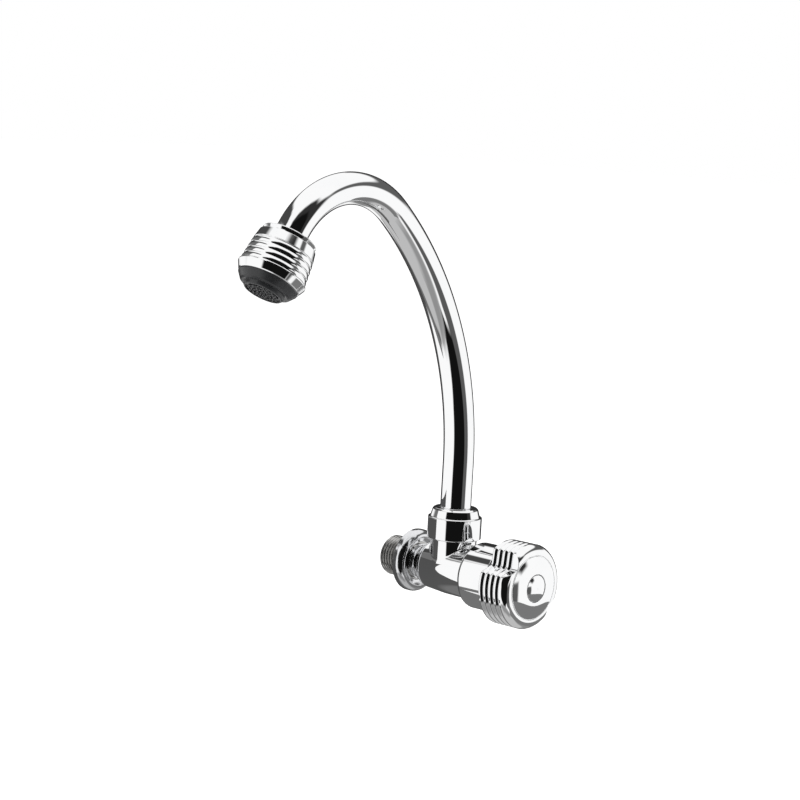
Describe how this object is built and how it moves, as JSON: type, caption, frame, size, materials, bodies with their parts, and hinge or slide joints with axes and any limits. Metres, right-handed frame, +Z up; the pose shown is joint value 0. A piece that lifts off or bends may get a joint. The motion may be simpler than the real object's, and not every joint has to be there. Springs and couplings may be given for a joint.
{
  "type": "wall-mounted swan-neck kitchen tap",
  "caption": "Wall-mounted kitchen tap with a swivelling swan-neck spout, a notched round knob facing forward and a ball-jointed spray nozzle.",
  "frame": {"origin": "where the inlet axis meets the wall, at the flange's back face", "axes": "+Y along the inlet into the wall, +Z up along the riser, the spout points along -X and the knob faces -Y"},
  "size_m": [0.1757, 0.1005, 0.2251],
  "materials": {
    "bright_chrome": "mirror polished plate",
    "nickel_tail": "dull plated thread",
    "turned_brass": "turned",
    "black_rubber": "matt",
    "fibre_gasket": "pressed fibre",
    "white_plastic": "moulded",
    "dark_plastic": "satin moulded",
    "stainless_steel": "bright"
  },
  "bodies": {
    "tap": {"tap_body": "bright_chrome", "inlet_tail": "nickel_tail", "wall_flange": "bright_chrome", "valve_seat": "turned_brass", "headwork_gasket": "fibre_gasket", "headwork_body": "turned_brass", "bonnet_sleeve": "bright_chrome", "spout_nut": "bright_chrome", "glide_ring": "white_plastic"},
    "spout": {"spout_pipe": "bright_chrome", "spout_foot": "turned_brass", "spout_orings": "black_rubber", "swivel_ball": "turned_brass"},
    "ball_seat": {"ball_seat_ring": "white_plastic"},
    "nozzle": {"nozzle_shell": "bright_chrome", "ball_seal": "black_rubber", "seal_retainer": "white_plastic", "strainer_disc": "stainless_steel", "spray_insert": "dark_plastic", "spray_plate": "dark_plastic"},
    "knob": {"handle_knob": "bright_chrome", "spindle": "turned_brass", "spindle_orings": "black_rubber", "spindle_clip": "stainless_steel", "spline_bush": "turned_brass", "handle_screw": "stainless_steel", "index_button": "bright_chrome"},
    "jumper": {"valve_jumper": "turned_brass", "seat_washer": "black_rubber", "washer_screw": "turned_brass"}
  },
  "joints": [
    {"name": "spout_swivel", "type": "hinge", "parent": "tap", "child": "spout", "pos_m": [0, -0.027, 0.03], "axis": [0, 0, 1], "range_deg": [0, 180]},
    {"name": "nozzle_tilt_fore_aft", "type": "hinge", "parent": "spout", "child": "ball_seat", "pos_m": [-0.1323, -0.027, 0.16548], "axis": [0, 1, 0], "range_deg": [-12, 12]},
    {"name": "nozzle_tilt_sideways", "type": "hinge", "parent": "ball_seat", "child": "nozzle", "pos_m": [-0.1323, -0.027, 0.16548], "axis": [0.8526, 0, -0.5225], "range_deg": [-12, 12]},
    {"name": "knob_turn", "type": "hinge", "parent": "tap", "child": "knob", "pos_m": [0, -0.07, 0], "axis": [0, -1, 0], "range_deg": [0, 900]},
    {"name": "jumper_slide", "type": "slide", "parent": "tap", "child": "jumper", "axis": [0, -1, 0], "range_m": [0, 0.0038]}
  ],
  "couplings": [
    {"joint": "jumper_slide", "follows": "knob_turn", "m_per_rad": 0.00023873}
  ]
}
